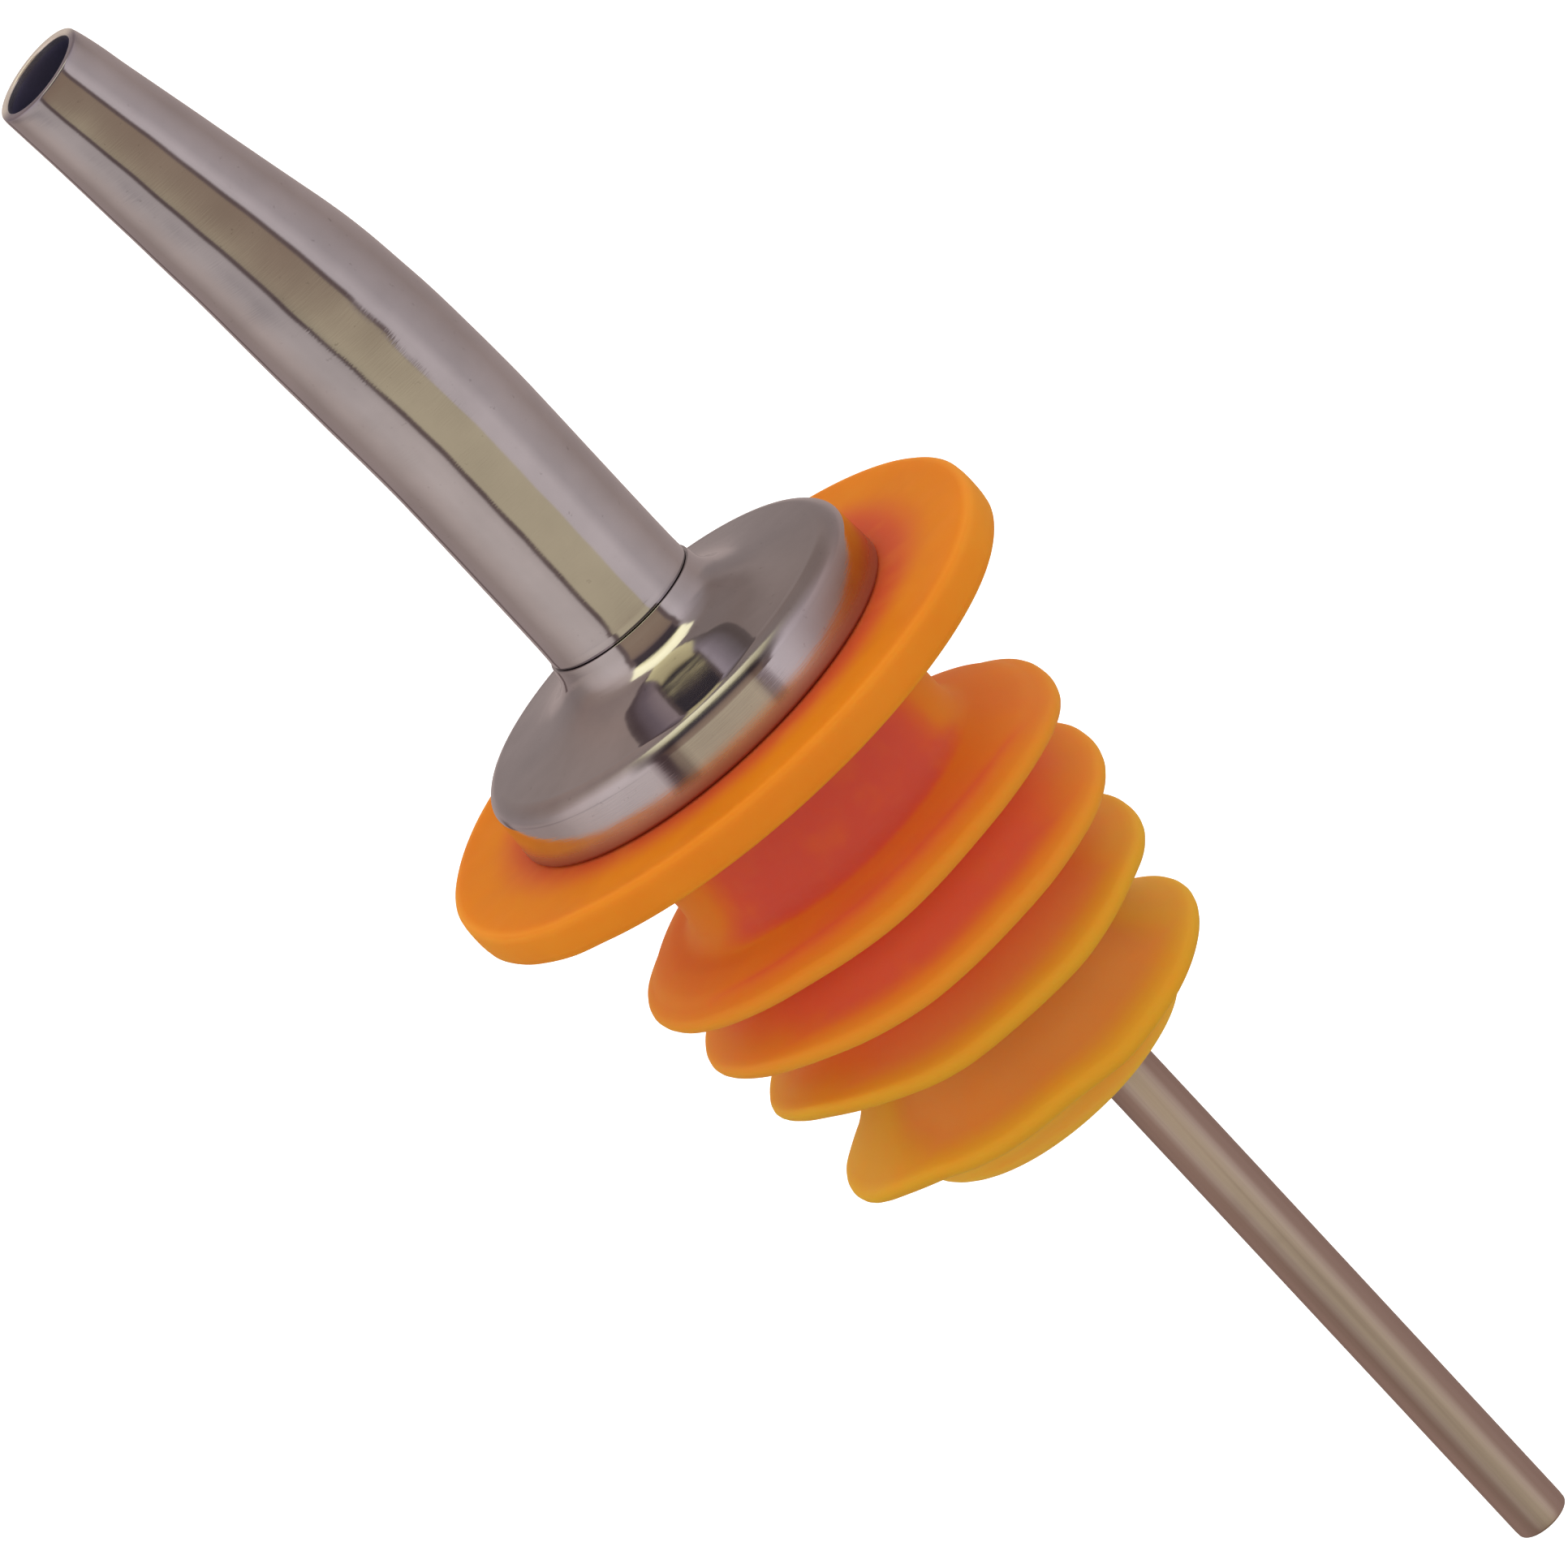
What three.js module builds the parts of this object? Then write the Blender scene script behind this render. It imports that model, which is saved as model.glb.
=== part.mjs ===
// Free-flow liquor pour spout for a wine or spirits bottle.
// Millimetres, +Z up along the stopper's axis. The origin is the centre of the flange's flat underside, where the lip of
// the bottle bears. The spout leans towards -X as it rises, and the breather tube lies against its opposite, +X wall.
//
// Separate pieces:
//   stopper        soft ribbed plug with a wide flange and four sealing fins
//   collar         drawn sheet-metal cap ring that sits on the flange
//   spout          tapered, bent pouring tube
//   shank          stepped inner tube: wide inside the stopper, narrow through the collar and up inside the spout
//   breather_tube  thin air tube from inside the bottle up to just short of the mouth
//   solder_saddle  fillet of solder that fixes the breather tube to the shank wall
import * as THREE from "three";
import { mergeVertices } from "three/addons/utils/BufferGeometryUtils.js";

// ---------- driving dimensions ----------
// Stopper
const BORE_R = 5.3; // bore for the shank
const CORE_R = 7.5; // solid core between the fins
const FLANGE_R = 16.95; // wide flange that sits on the bottle's lip
const FLANGE_TOP_Z = 2.0; // top of the flange, under the collar
const FIN_Z = [-9.02, -13.41, -17.6, -22.83]; // height of each fin's edge
const FIN_R = [13.19, 12.67, 11.9, 11.52]; // radius of each fin's edge
const FIN_TOP = [
  // radius and height along each fin's upper face, from the edge inwards to the core: a long soft fillet
  [[12.55, -8.42], [11.9, -7.9], [10.9, -7.47], [10.0, -7.15], [9.3, -6.88], [8.86, -6.5], [8.68, -6.0]],
  [[12.03, -12.82], [11.1, -12.3], [10.0, -11.6], [9.0, -10.8], [8.35, -10.2]],
  [[11.28, -17.02], [10.4, -16.45], [9.4, -15.75], [8.6, -15.0], [8.1, -14.55]],
  [[10.88, -22.22], [10.0, -21.65], [9.1, -20.9], [8.4, -20.0], [8.0, -19.2], [7.9, -18.8]],
];
// Use has left the soft fins bent: how far each fin's edge stands above its even height, by angle from +X in degrees
const FIN_BEND = [
  [[0, -0.4], [8, -0.2], [30, -0.12], [90, 0.02], [150, 0.08], [165, 0.24], [180, 0.33], [200, 0.42], [220, 0.58], [240, 0.64], [252, 0.5], [268, 0.32], [290, 0.38], [305, 0.24], [320, 0], [335, -0.35], [348, -0.56], [360, -0.4]],
  [[0, -0.12], [10, 0.16], [60, 0.3], [120, 0.42], [168, 0.7], [182, 0.78], [200, 1.03], [215, 1.06], [228, 0.93], [240, 0.62], [252, 0.34], [262, 0.19], [284, 0.15], [300, 0.0], [314, -0.12], [325, -0.28], [345, -0.36], [360, -0.12]],
  [[0, -0.2], [12, 0.06], [60, 0.25], [120, 0.42], [165, 0.62], [180, 0.88], [196, 1.35], [210, 1.55], [222, 1.36], [234, 1.0], [246, 0.52], [254, 0.32], [270, 0.2], [282, 0.06], [296, -0.12], [320, -0.06], [338, -0.3], [350, -0.38], [360, -0.2]],
  [[0, -0.12], [20, -0.16], [90, -0.2], [150, -0.3], [166, -0.09], [180, 0.06], [190, 0.12], [200, 0.42], [212, 0.8], [226, 0.96], [238, 0.62], [248, 0.42], [269, 0.33], [277, 0.1], [288, -0.26], [312, -0.3], [335, -0.17], [360, -0.12]],
];
// and how far the flange's edge stands above its even height
const FLANGE_FLAT_R = 14.4; // the lip of the bottle bears inside this radius, and the flange stays flat there
const FLANGE_BEND = [[0, -0.08], [8, 0], [20, 0.03], [40, 0], [60, -0.06], [90, 0.04], [120, 0.17], [140, 0.2], [150, 0.16], [160, 0.12], [180, 0.03], [195, 0], [205, -0.08], [214, -0.08], [225, 0.05], [250, 0.03], [270, -0.02], [290, -0.1], [300, -0.14], [312, -0.2], [330, -0.25], [338, -0.2], [352, -0.12], [360, -0.08]];
const STOPPER_END_Z = -25.9;
const END_R = 8.17;
const ECCENTRIC_Z = [-26, -24.2, -22.83, -20, -17.6, -13.41, -9.02, -6.5, -5, -2.5, -0.5, 0.9]; // the soft plug sits a little off centre on the metalwork
const ECCENTRIC_X = [0.38, 0.3, 0, 0.15, 0.26, 0.34, 0.4, 0.5, 0.55, 0.5, 0.38, 0.36];

// Collar
const COLLAR_R = 11.7; // at its foot; the wall leans in a little as it rises
const COLLAR_TOP_R = 11.55;
const COLLAR_BOTTOM_Z = 2.3;
const COLLAR_WALL = 0.5;
const SEAM_Z = 8.5; // where the collar's neck meets the spout
const NECK_BORE_R = 4.05;

// Spout: height, lean and outer radius, from the seam to the mouth
const SPOUT = [
  [8.62, 0, 4.4],
  [8.8, 0, 4.385],
  [9.6, 0, 4.355],
  [12.5, 0, 4.33],
  [16.7, 0, 4.322],
  [20.0, -0.01, 4.322],
  [22.9, -0.1, 4.325],
  [25.0, -0.2, 4.322],
  [27.1, -0.31, 4.295],
  [29.1, -0.46, 4.237],
  [30.8, -0.59, 4.175],
  [32.4, -0.74, 4.08],
  [33.6, -0.88, 3.985],
  [35.3, -1.11, 3.83],
  [37.3, -1.4, 3.666],
  [39.3, -1.68, 3.497],
  [41.35, -1.97, 3.34],
  [43.4, -2.26, 3.175],
  [45.4, -2.55, 3.02],
  [46.8, -2.75, 2.93],
  [47.6, -2.88, 2.86],
  [48.15, -2.98, 2.8],
  [48.45, -3.03, 2.72],
];
const SPOUT_WALL = 0.33;
const MOUTH_WALL = 0.5; // the mouth's rim is rolled a little thicker
const MOUTH_TILT = THREE.MathUtils.degToRad(10); // tilt of the mouth from level, down towards -X
const MOUTH_DIP = THREE.MathUtils.degToRad(5.5); // and down towards -Y
const SOCKET_TOP_Z = 17.2; // the spout slips over the shank up to here

// Shank
const SHANK_R = 5.0;
const SHANK_INNER_R = 4.6;
const SHANK_TOP_R = 3.95;
const SHANK_TOP_INNER_R = 3.65;
const SHANK_BOTTOM_Z = -26.4;
const SHANK_TOP_Z = 16.8;
const STEP_LOW_Z = 1.0;
const STEP_HIGH_Z = 4.6;

// Breather tube
const BREATHER_R = 1.58;
const BREATHER_INNER_R = 1.2;
const BREATHER_BOTTOM_Z = -62.2;
const BREATHER_PATH = [
  // x of the tube's centre by height
  [-62.2, 3.02],
  [-45, 2.99],
  [-28, 2.94],
  [-20, 2.9],
  [-12, 2.74],
  [-5, 2.36],
  [1, 1.98],
  [6, 1.86],
  [14, 1.86],
  [20, 1.84],
  [26, 1.66],
  [31, 1.28],
  [35, 0.6],
  [38.5, -0.08],
  [41.5, -0.74],
];

// Solder saddle
const SADDLE_Z = [-22.5, -15.5];

// Facets round a full turn
const SEG_STOPPER = 40;
const SEG_COLLAR = 40;
const SEG_TUBE = 36;
const SEG_BREATHER = 16;

// ---------- materials ----------
const stopperPlastic = new THREE.MeshStandardMaterial({ name: "stopper_plastic", color: 0xd8702a, roughness: 0.5, metalness: 0 });
const chrome = new THREE.MeshStandardMaterial({ name: "chrome_plate", color: 0xb4acb0, roughness: 0.12, metalness: 1 });
const steelTube = new THREE.MeshStandardMaterial({ name: "steel_tube", color: 0x9c9080, roughness: 0.3, metalness: 1 });
const shankSteel = new THREE.MeshStandardMaterial({ name: "shank_steel", color: 0xa9a6a2, roughness: 0.25, metalness: 1 });
const solder = new THREE.MeshStandardMaterial({ name: "solder", color: 0x9a9a98, roughness: 0.45, metalness: 1 });

// ---------- helpers ----------
// Linear interpolation in a table of pairs.
function lookup(table, key, column = 1) {
  if (key <= table[0][0]) return table[0][column];
  for (let i = 1; i < table.length; i++)
    if (key <= table[i][0]) {
      const t = (key - table[i - 1][0]) / (table[i][0] - table[i - 1][0]);
      return table[i - 1][column] + t * (table[i][column] - table[i - 1][column]);
    }
  return table[table.length - 1][column];
}

// A closed ring profile of [radius, height] pairs turned about Z. The profile runs anticlockwise with radius to the right.
function turned(profile, segments) {
  const points = profile.map(([r, z]) => new THREE.Vector2(r, z));
  points.push(points[0].clone());
  const g = new THREE.LatheGeometry(points, segments);
  g.rotateX(Math.PI / 2); // the lathe's Y axis becomes Z
  g.deleteAttribute("normal");
  g.deleteAttribute("uv");
  const welded = mergeVertices(g, 1e-4);
  welded.computeVertexNormals();
  return welded;
}

// Moves each vertex of a geometry by a function of its position.
function reshape(geometry, move) {
  const p = geometry.attributes.position;
  for (let i = 0; i < p.count; i++) {
    const v = move(p.getX(i), p.getY(i), p.getZ(i));
    p.setXYZ(i, v[0], v[1], v[2]);
  }
  geometry.computeVertexNormals();
  return geometry;
}

function piece(name, geometry, material) {
  const mesh = new THREE.Mesh(geometry, material);
  mesh.name = name;
  return mesh;
}

// ---------- stopper ----------
const stopperProfile = [
  [BORE_R, STOPPER_END_Z],
  [END_R - 1.0, STOPPER_END_Z],
  [END_R - 0.35, STOPPER_END_Z + 0.2],
  [END_R - 0.05, STOPPER_END_Z + 0.65],
  [END_R, STOPPER_END_Z + 1.1],
];
for (let i = FIN_Z.length - 1; i >= 0; i--) {
  const z = FIN_Z[i],
    R = FIN_R[i];
  if (i < FIN_Z.length - 1) {
    const core = FIN_TOP[i + 1].at(-1)[0];
    stopperProfile.push([core + 0.15, z - 0.86], [core + 0.8, z - 0.65]);
  } else stopperProfile.push([END_R + 0.22, z - 1.3], [END_R + 0.75, z - 0.92], [END_R + 1.5, z - 0.66]);
  stopperProfile.push(
    [R - 1.5, z - 0.62],
    [R - 0.55, z - 0.6],
    [R - 0.16, z - 0.38],
    [R, z],
    [R - 0.16, z + 0.36],
    ...FIN_TOP[i],
  );
}
stopperProfile.push(
  [8.68, -2.8],
  [8.86, -1.7],
  [9.3, -0.85],
  [10.1, -0.28],
  [11.4, 0],
  [FLANGE_FLAT_R, 0],
  [15.4, -0.03],
  [FLANGE_R - 0.5, -0.09],
  [FLANGE_R - 0.2, -0.05],
  [FLANGE_R - 0.06, 0.1],
  [FLANGE_R - 0.02, 0.4],
  [FLANGE_R, 1.0],
  [FLANGE_R - 0.02, 1.6],
  [FLANGE_R - 0.06, 1.9],
  [FLANGE_R - 0.2, 2.05],
  [FLANGE_R - 0.5, 2.09],
  [15.4, 2.03],
  [FLANGE_FLAT_R, FLANGE_TOP_Z],
  [12.2, FLANGE_TOP_Z],
  [BORE_R, FLANGE_TOP_Z],
);
const eccentric = ECCENTRIC_Z.map((z, i) => [z, ECCENTRIC_X[i]]);
const stopperGeometry = reshape(turned(stopperProfile, SEG_STOPPER), (x, y, z) => {
  const r = Math.hypot(x, y);
  const outward = THREE.MathUtils.smoothstep(r, BORE_R + 0.3, CORE_R + 0.5);
  const angle = (THREE.MathUtils.radToDeg(Math.atan2(y, x)) + 360) % 360;
  let bend = 0;
  FIN_Z.forEach((height, i) => {
    if (z < height - 0.9 || z > height + (i === 0 ? 4.5 : 3.4)) return;
    const reach = THREE.MathUtils.clamp((r - 8.2) / (FIN_R[i] - 8.2), 0, 1) ** (i === 0 ? 1.5 : 1);
    bend = reach * lookup(FIN_BEND[i], angle);
  });
  if (z > -0.2 && r > FLANGE_FLAT_R)
    bend = ((r - FLANGE_FLAT_R) / (FLANGE_R - FLANGE_FLAT_R)) ** 1.5 * lookup(FLANGE_BEND, angle);
  return [x + outward * lookup(eccentric, z), y, z + bend];
});

// ---------- collar ----------
const W = COLLAR_WALL;
const collarGeometry = turned(
  [
    [COLLAR_R - W, COLLAR_BOTTOM_Z],
    [COLLAR_R, COLLAR_BOTTOM_Z],
    [COLLAR_TOP_R, 4.58],
    [COLLAR_TOP_R - 0.07, 4.82],
    [COLLAR_TOP_R - 0.2, 5.04],
    [COLLAR_TOP_R - 0.5, 5.32],
    [COLLAR_TOP_R - 0.8, 5.46],
    [10.5, 5.53],
    [9.2, 5.66],
    [8.0, 5.84],
    [7.2, 5.97],
    [6.5, 6.2],
    [5.9, 6.46],
    [5.4, 6.78],
    [5.05, 7.08],
    [4.78, 7.44],
    [4.64, 7.78],
    [4.56, 8.2],
    [4.5, SEAM_Z],
    [NECK_BORE_R, SEAM_Z],
    [NECK_BORE_R, 6.6],
    [4.6, 6.15],
    [5.3, 5.75],
    [6.4, 5.4],
    [7.5, 5.2],
    [9.0, 4.98],
    [10.3, 4.85],
    [COLLAR_TOP_R - W - 0.12, 4.6],
    [COLLAR_TOP_R - W, 4.2],
  ],
  SEG_COLLAR,
);

// ---------- spout ----------
// A straight tapered tube is turned first, and each of its sections is then moved onto the leaning centre line and tilted.
const spoutTop = SPOUT[SPOUT.length - 1][0];
const spoutBottom = SPOUT[0][0];
const outer = SPOUT.map(([z, , r]) => [r, z]);
const innerRadius = (z) => {
  if (z <= SOCKET_TOP_Z) return SHANK_TOP_R + 0.06;
  const wall = THREE.MathUtils.lerp(SPOUT_WALL, MOUTH_WALL, THREE.MathUtils.smoothstep(z, 40, spoutTop));
  return lookup(SPOUT, z, 2) - wall;
};
const innerHeights = [48.1, 46, 43.4, 40.5, 37.3, 34, 31, 27, 22, SOCKET_TOP_Z + 0.3];
const inner = [
  [2.4, spoutTop],
  [2.32, 48.35],
  ...innerHeights.map((z) => [innerRadius(z), z]),
  [SHANK_TOP_R + 0.06, SOCKET_TOP_Z],
  [SHANK_TOP_R + 0.06, spoutBottom],
];
const spoutGeometry = reshape(turned([...outer, ...inner], SEG_TUBE), (x, y, z) => {
  const lean = lookup(SPOUT, z);
  const tilt = MOUTH_TILT * THREE.MathUtils.smoothstep(z, 18, spoutTop + 4);
  const dip = MOUTH_DIP * THREE.MathUtils.smoothstep(z, 36, spoutTop);
  return [lean + x * Math.cos(tilt), y * Math.cos(dip), z + x * Math.sin(tilt) + y * Math.sin(dip)];
});

// ---------- shank ----------
const shankGeometry = turned(
  [
    [SHANK_INNER_R + 0.1, SHANK_BOTTOM_Z],
    [SHANK_R - 0.1, SHANK_BOTTOM_Z],
    [SHANK_R, SHANK_BOTTOM_Z + 0.15],
    [SHANK_R, STEP_LOW_Z],
    [SHANK_R - 0.3, STEP_LOW_Z + 1.0],
    [SHANK_TOP_R + 0.3, STEP_HIGH_Z - 1.0],
    [SHANK_TOP_R, STEP_HIGH_Z],
    [SHANK_TOP_R, SHANK_TOP_Z],
    [SHANK_TOP_INNER_R, SHANK_TOP_Z],
    [SHANK_TOP_INNER_R, STEP_HIGH_Z],
    [SHANK_TOP_INNER_R + 0.3, STEP_HIGH_Z - 1.1],
    [SHANK_INNER_R - 0.3, STEP_LOW_Z + 0.9],
    [SHANK_INNER_R, STEP_LOW_Z - 0.1],
    [SHANK_INNER_R, SHANK_BOTTOM_Z + 0.15],
  ],
  SEG_TUBE,
);

// ---------- breather tube ----------
// A straight tube turned with one ring for each point of its path, then each ring is moved sideways onto the path.
const breatherPath = new THREE.CatmullRomCurve3(
  BREATHER_PATH.map(([z, x]) => new THREE.Vector3(x, 0, z)),
  false,
  "centripetal",
);
const breatherSamples = breatherPath.getPoints(42).map((p) => [p.z, p.x]);
const breatherTop = BREATHER_PATH[BREATHER_PATH.length - 1][0];
const along = [];
for (let z = BREATHER_BOTTOM_Z + 0.35; z < -22; z += 13) along.push(z);
for (let z = -20; z < breatherTop - 1; z += 2.6) along.push(z);
const breatherGeometry = reshape(
  turned(
    [
      [BREATHER_INNER_R + 0.08, BREATHER_BOTTOM_Z],
      [BREATHER_R - 0.25, BREATHER_BOTTOM_Z],
      [BREATHER_R - 0.08, BREATHER_BOTTOM_Z + 0.1],
      ...along.map((z) => [BREATHER_R, z]),
      [BREATHER_R, breatherTop],
      [BREATHER_INNER_R, breatherTop],
      ...along.toReversed().map((z) => [BREATHER_INNER_R, z]),
    ],
    SEG_BREATHER,
  ),
  (x, y, z) => {
    const slope = (lookup(breatherSamples, z + 0.5) - lookup(breatherSamples, z - 0.5)) / 1.0;
    const lean = Math.atan(slope);
    return [lookup(breatherSamples, z) + x * Math.cos(lean), y, z - x * Math.sin(lean)];
  },
);

// ---------- solder saddle ----------
// A crescent that lies in the two grooves beside the tube, and laps over the tube's inner side.
const saddleShape = new THREE.Shape();
{
  const tubeX = 2.86,
    inside = BREATHER_R + 0.28, // clear of the tube
    reach = SHANK_INNER_R - 0.28, // clear of the shank wall
    outside = BREATHER_R + 0.75;
  const turn = THREE.MathUtils.degToRad(68); // how far round the tube the crescent starts
  const n = 12;
  const pts = [];
  for (let i = 0; i <= n; i++) {
    const a = turn + ((2 * Math.PI - 2 * turn) * i) / n;
    let x = tubeX + outside * Math.cos(a),
      y = outside * Math.sin(a);
    const d = Math.hypot(x, y);
    if (d > reach) {
      x *= reach / d;
      y *= reach / d;
    }
    pts.push(new THREE.Vector2(x, y));
  }
  for (let i = n; i >= 0; i--) {
    const a = turn + 0.1 + ((2 * Math.PI - 2 * (turn + 0.1)) * i) / n;
    pts.push(new THREE.Vector2(tubeX + inside * Math.cos(a), inside * Math.sin(a)));
  }
  saddleShape.setFromPoints(pts);
}
const saddleGeometry = new THREE.ExtrudeGeometry(saddleShape, {
  depth: SADDLE_Z[1] - SADDLE_Z[0],
  bevelEnabled: false,
  steps: 1,
});
saddleGeometry.translate(0, 0, SADDLE_Z[0]);

// ---------- assembly ----------
const pourSpout = new THREE.Group();
pourSpout.name = "liquor_pour_spout";
const plugGroup = new THREE.Group();
const collarGroup = new THREE.Group();
const spoutUnit = new THREE.Group();
plugGroup.add(piece("stopper", stopperGeometry, stopperPlastic));
collarGroup.add(piece("collar", collarGeometry, chrome));
spoutUnit.add(
  piece("spout", spoutGeometry, chrome),
  piece("shank", shankGeometry, shankSteel),
  piece("breather_tube", breatherGeometry, steelTube),
  piece("solder_saddle", saddleGeometry, solder),
);
pourSpout.add(plugGroup, collarGroup, spoutUnit);

export default pourSpout;
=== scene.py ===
import math

import bpy
import numpy as np
from mathutils import Matrix, Vector


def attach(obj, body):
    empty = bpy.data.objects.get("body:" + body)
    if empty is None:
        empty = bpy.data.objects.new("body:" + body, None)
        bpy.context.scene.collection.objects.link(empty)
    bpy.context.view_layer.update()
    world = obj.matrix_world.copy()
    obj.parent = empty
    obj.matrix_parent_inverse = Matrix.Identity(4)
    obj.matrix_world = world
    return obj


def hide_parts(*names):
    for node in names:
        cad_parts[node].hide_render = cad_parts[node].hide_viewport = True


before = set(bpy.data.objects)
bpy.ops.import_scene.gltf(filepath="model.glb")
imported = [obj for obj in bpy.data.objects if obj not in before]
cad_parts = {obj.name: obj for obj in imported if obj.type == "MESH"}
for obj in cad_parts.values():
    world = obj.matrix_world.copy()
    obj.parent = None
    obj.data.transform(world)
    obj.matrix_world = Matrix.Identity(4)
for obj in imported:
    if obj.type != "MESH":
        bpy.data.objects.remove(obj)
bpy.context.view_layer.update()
MM = 0.001


# ---------------------------------------------------------------- mesh helpers
def rounded(points, step=0.5, angle_step=9.0, closed=True):
    """A closed polyline of (r, z) or (r, z, fillet radius), with its corners rounded and its straights divided."""
    n = len(points)
    out = []
    for i in range(n):
        p0, p1, p2 = (np.array(points[(i + k) % n][:2], float) for k in (-1, 0, 1))
        rad = points[i][2] if len(points[i]) > 2 else 0.0
        a, b = p0 - p1, p2 - p1
        la, lb = np.linalg.norm(a), np.linalg.norm(b)
        a, b = a / la, b / lb
        ang = math.acos(float(np.clip(a @ b, -1, 1)))
        if rad <= 0 or ang > math.pi - 0.02:
            out.append(p1)
            continue
        t = min(rad / math.tan(ang / 2), 0.49 * la, 0.49 * lb)
        rad = t * math.tan(ang / 2)
        centre = p1 + (a + b) / np.linalg.norm(a + b) * rad / math.sin(ang / 2)
        s, e = p1 + a * t - centre, p1 + b * t - centre
        a0 = math.atan2(s[1], s[0])
        turn = (math.atan2(e[1], e[0]) - a0 + math.pi) % (2 * math.pi) - math.pi
        k = max(2, int(math.ceil(abs(math.degrees(turn)) / angle_step)))
        for j in range(k + 1):
            q = a0 + turn * j / k
            out.append(centre + rad * np.array([math.cos(q), math.sin(q)]))
    dense = []
    for i in range(len(out)):
        p, q = out[i], out[(i + 1) % len(out)]
        k = max(1, int(math.ceil(np.linalg.norm(q - p) / step)))
        dense += [p + (q - p) * j / k for j in range(k)]
    return np.array(dense)


def spline(points, step):
    """A closed Catmull-Rom curve through (r, z) points, sampled every step or so."""
    p = np.array(points, float)
    n = len(p)
    out = []
    for i in range(n):
        p0, p1, p2, p3 = p[(i - 1) % n], p[i], p[(i + 1) % n], p[(i + 2) % n]
        d = [max(np.linalg.norm(b - a) ** 0.5, 1e-6) for a, b in ((p0, p1), (p1, p2), (p2, p3))]
        t0, t1, t2, t3 = 0, d[0], d[0] + d[1], d[0] + d[1] + d[2]
        k = max(1, int(round(np.linalg.norm(p2 - p1) / step)))
        for j in range(k):
            t = t1 + (t2 - t1) * j / k
            a1 = (t1 - t) / (t1 - t0) * p0 + (t - t0) / (t1 - t0) * p1
            a2 = (t2 - t) / (t2 - t1) * p1 + (t - t1) / (t2 - t1) * p2
            a3 = (t3 - t) / (t3 - t2) * p2 + (t - t2) / (t3 - t2) * p3
            b1 = (t2 - t) / (t2 - t0) * a1 + (t - t0) / (t2 - t0) * a2
            b2 = (t3 - t) / (t3 - t1) * a2 + (t - t1) / (t3 - t1) * a3
            out.append((t2 - t) / (t2 - t1) * b1 + (t - t1) / (t2 - t1) * b2)
    return np.array(out)


def curve_fn(table, column=1):
    """A smooth monotone-preserving interpolation of a table's column against its first column."""
    x = np.array([row[0] for row in table], float)
    y = np.array([row[column] for row in table], float)
    h, d = np.diff(x), np.diff(y) / np.diff(x)
    m = np.zeros_like(x)
    m[0], m[-1] = d[0], d[-1]
    for i in range(1, len(x) - 1):
        m[i] = 0 if d[i - 1] * d[i] <= 0 else (h[i - 1] + h[i]) / (h[i] / d[i - 1] + h[i - 1] / d[i])

    def f(v):
        v = np.clip(np.asarray(v, float), x[0], x[-1])
        i = np.clip(np.searchsorted(x, v) - 1, 0, len(x) - 2)
        t = (v - x[i]) / h[i]
        return (
            y[i] * (1 + 2 * t) * (1 - t) ** 2
            + m[i] * h[i] * t * (1 - t) ** 2
            + y[i + 1] * t * t * (3 - 2 * t)
            + m[i + 1] * h[i] * t * t * (t - 1)
        )

    return f


def smooth01(v, lo, hi):
    t = np.clip((np.asarray(v, float) - lo) / (hi - lo), 0, 1)
    return t * t * (3 - 2 * t)


def revolve(name, profile, segments, move=None, attributes=None):
    """A closed (r, z) profile in mm, anticlockwise, turned about Z into a quad mesh with shared vertices."""
    r, z = profile[:, 0], profile[:, 1]
    phi = np.arange(segments) * 2 * np.pi / segments
    R, PHI = np.meshgrid(r, phi)
    Z, _ = np.meshgrid(z, phi)
    X, Y = R * np.cos(PHI), R * np.sin(PHI)
    if move is not None:
        X, Y, Z = move(X, Y, Z, R, PHI)
    co = np.stack([X, Y, Z], -1).reshape(-1, 3) * MM
    n = len(r)
    i = np.arange(segments)[:, None]
    j = np.arange(n)[None, :]
    i2, j2 = (i + 1) % segments, (j + 1) % n
    quads = np.stack([i * n + j, i2 * n + j, i2 * n + j2, i * n + j2], -1).reshape(-1, 4)
    mesh = bpy.data.meshes.new(name)
    mesh.vertices.add(len(co))
    mesh.vertices.foreach_set("co", co.ravel())
    mesh.loops.add(quads.size)
    mesh.loops.foreach_set("vertex_index", quads.ravel().astype(np.int32))
    mesh.polygons.add(len(quads))
    mesh.polygons.foreach_set("loop_start", (np.arange(len(quads)) * 4).astype(np.int32))
    mesh.polygons.foreach_set("use_smooth", np.ones(len(quads), bool))
    mesh.update(calc_edges=True)
    mesh.validate()
    for key, values in (attributes or {}).items():
        layer = mesh.attributes.new(key, "FLOAT", "POINT")
        data = np.broadcast_to(np.asarray(values, float), (segments, n)).reshape(-1)
        layer.data.foreach_set("value", data.astype(np.float32))
    ob = bpy.data.objects.new(name, mesh)
    bpy.context.scene.collection.objects.link(ob)
    return ob


# ---------------------------------------------------------------- material helpers
def srgb(r, g, b):
    def lin(c):
        c /= 255
        return c / 12.92 if c <= 0.04045 else ((c + 0.055) / 1.055) ** 2.4

    return (lin(r), lin(g), lin(b), 1.0)


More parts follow.
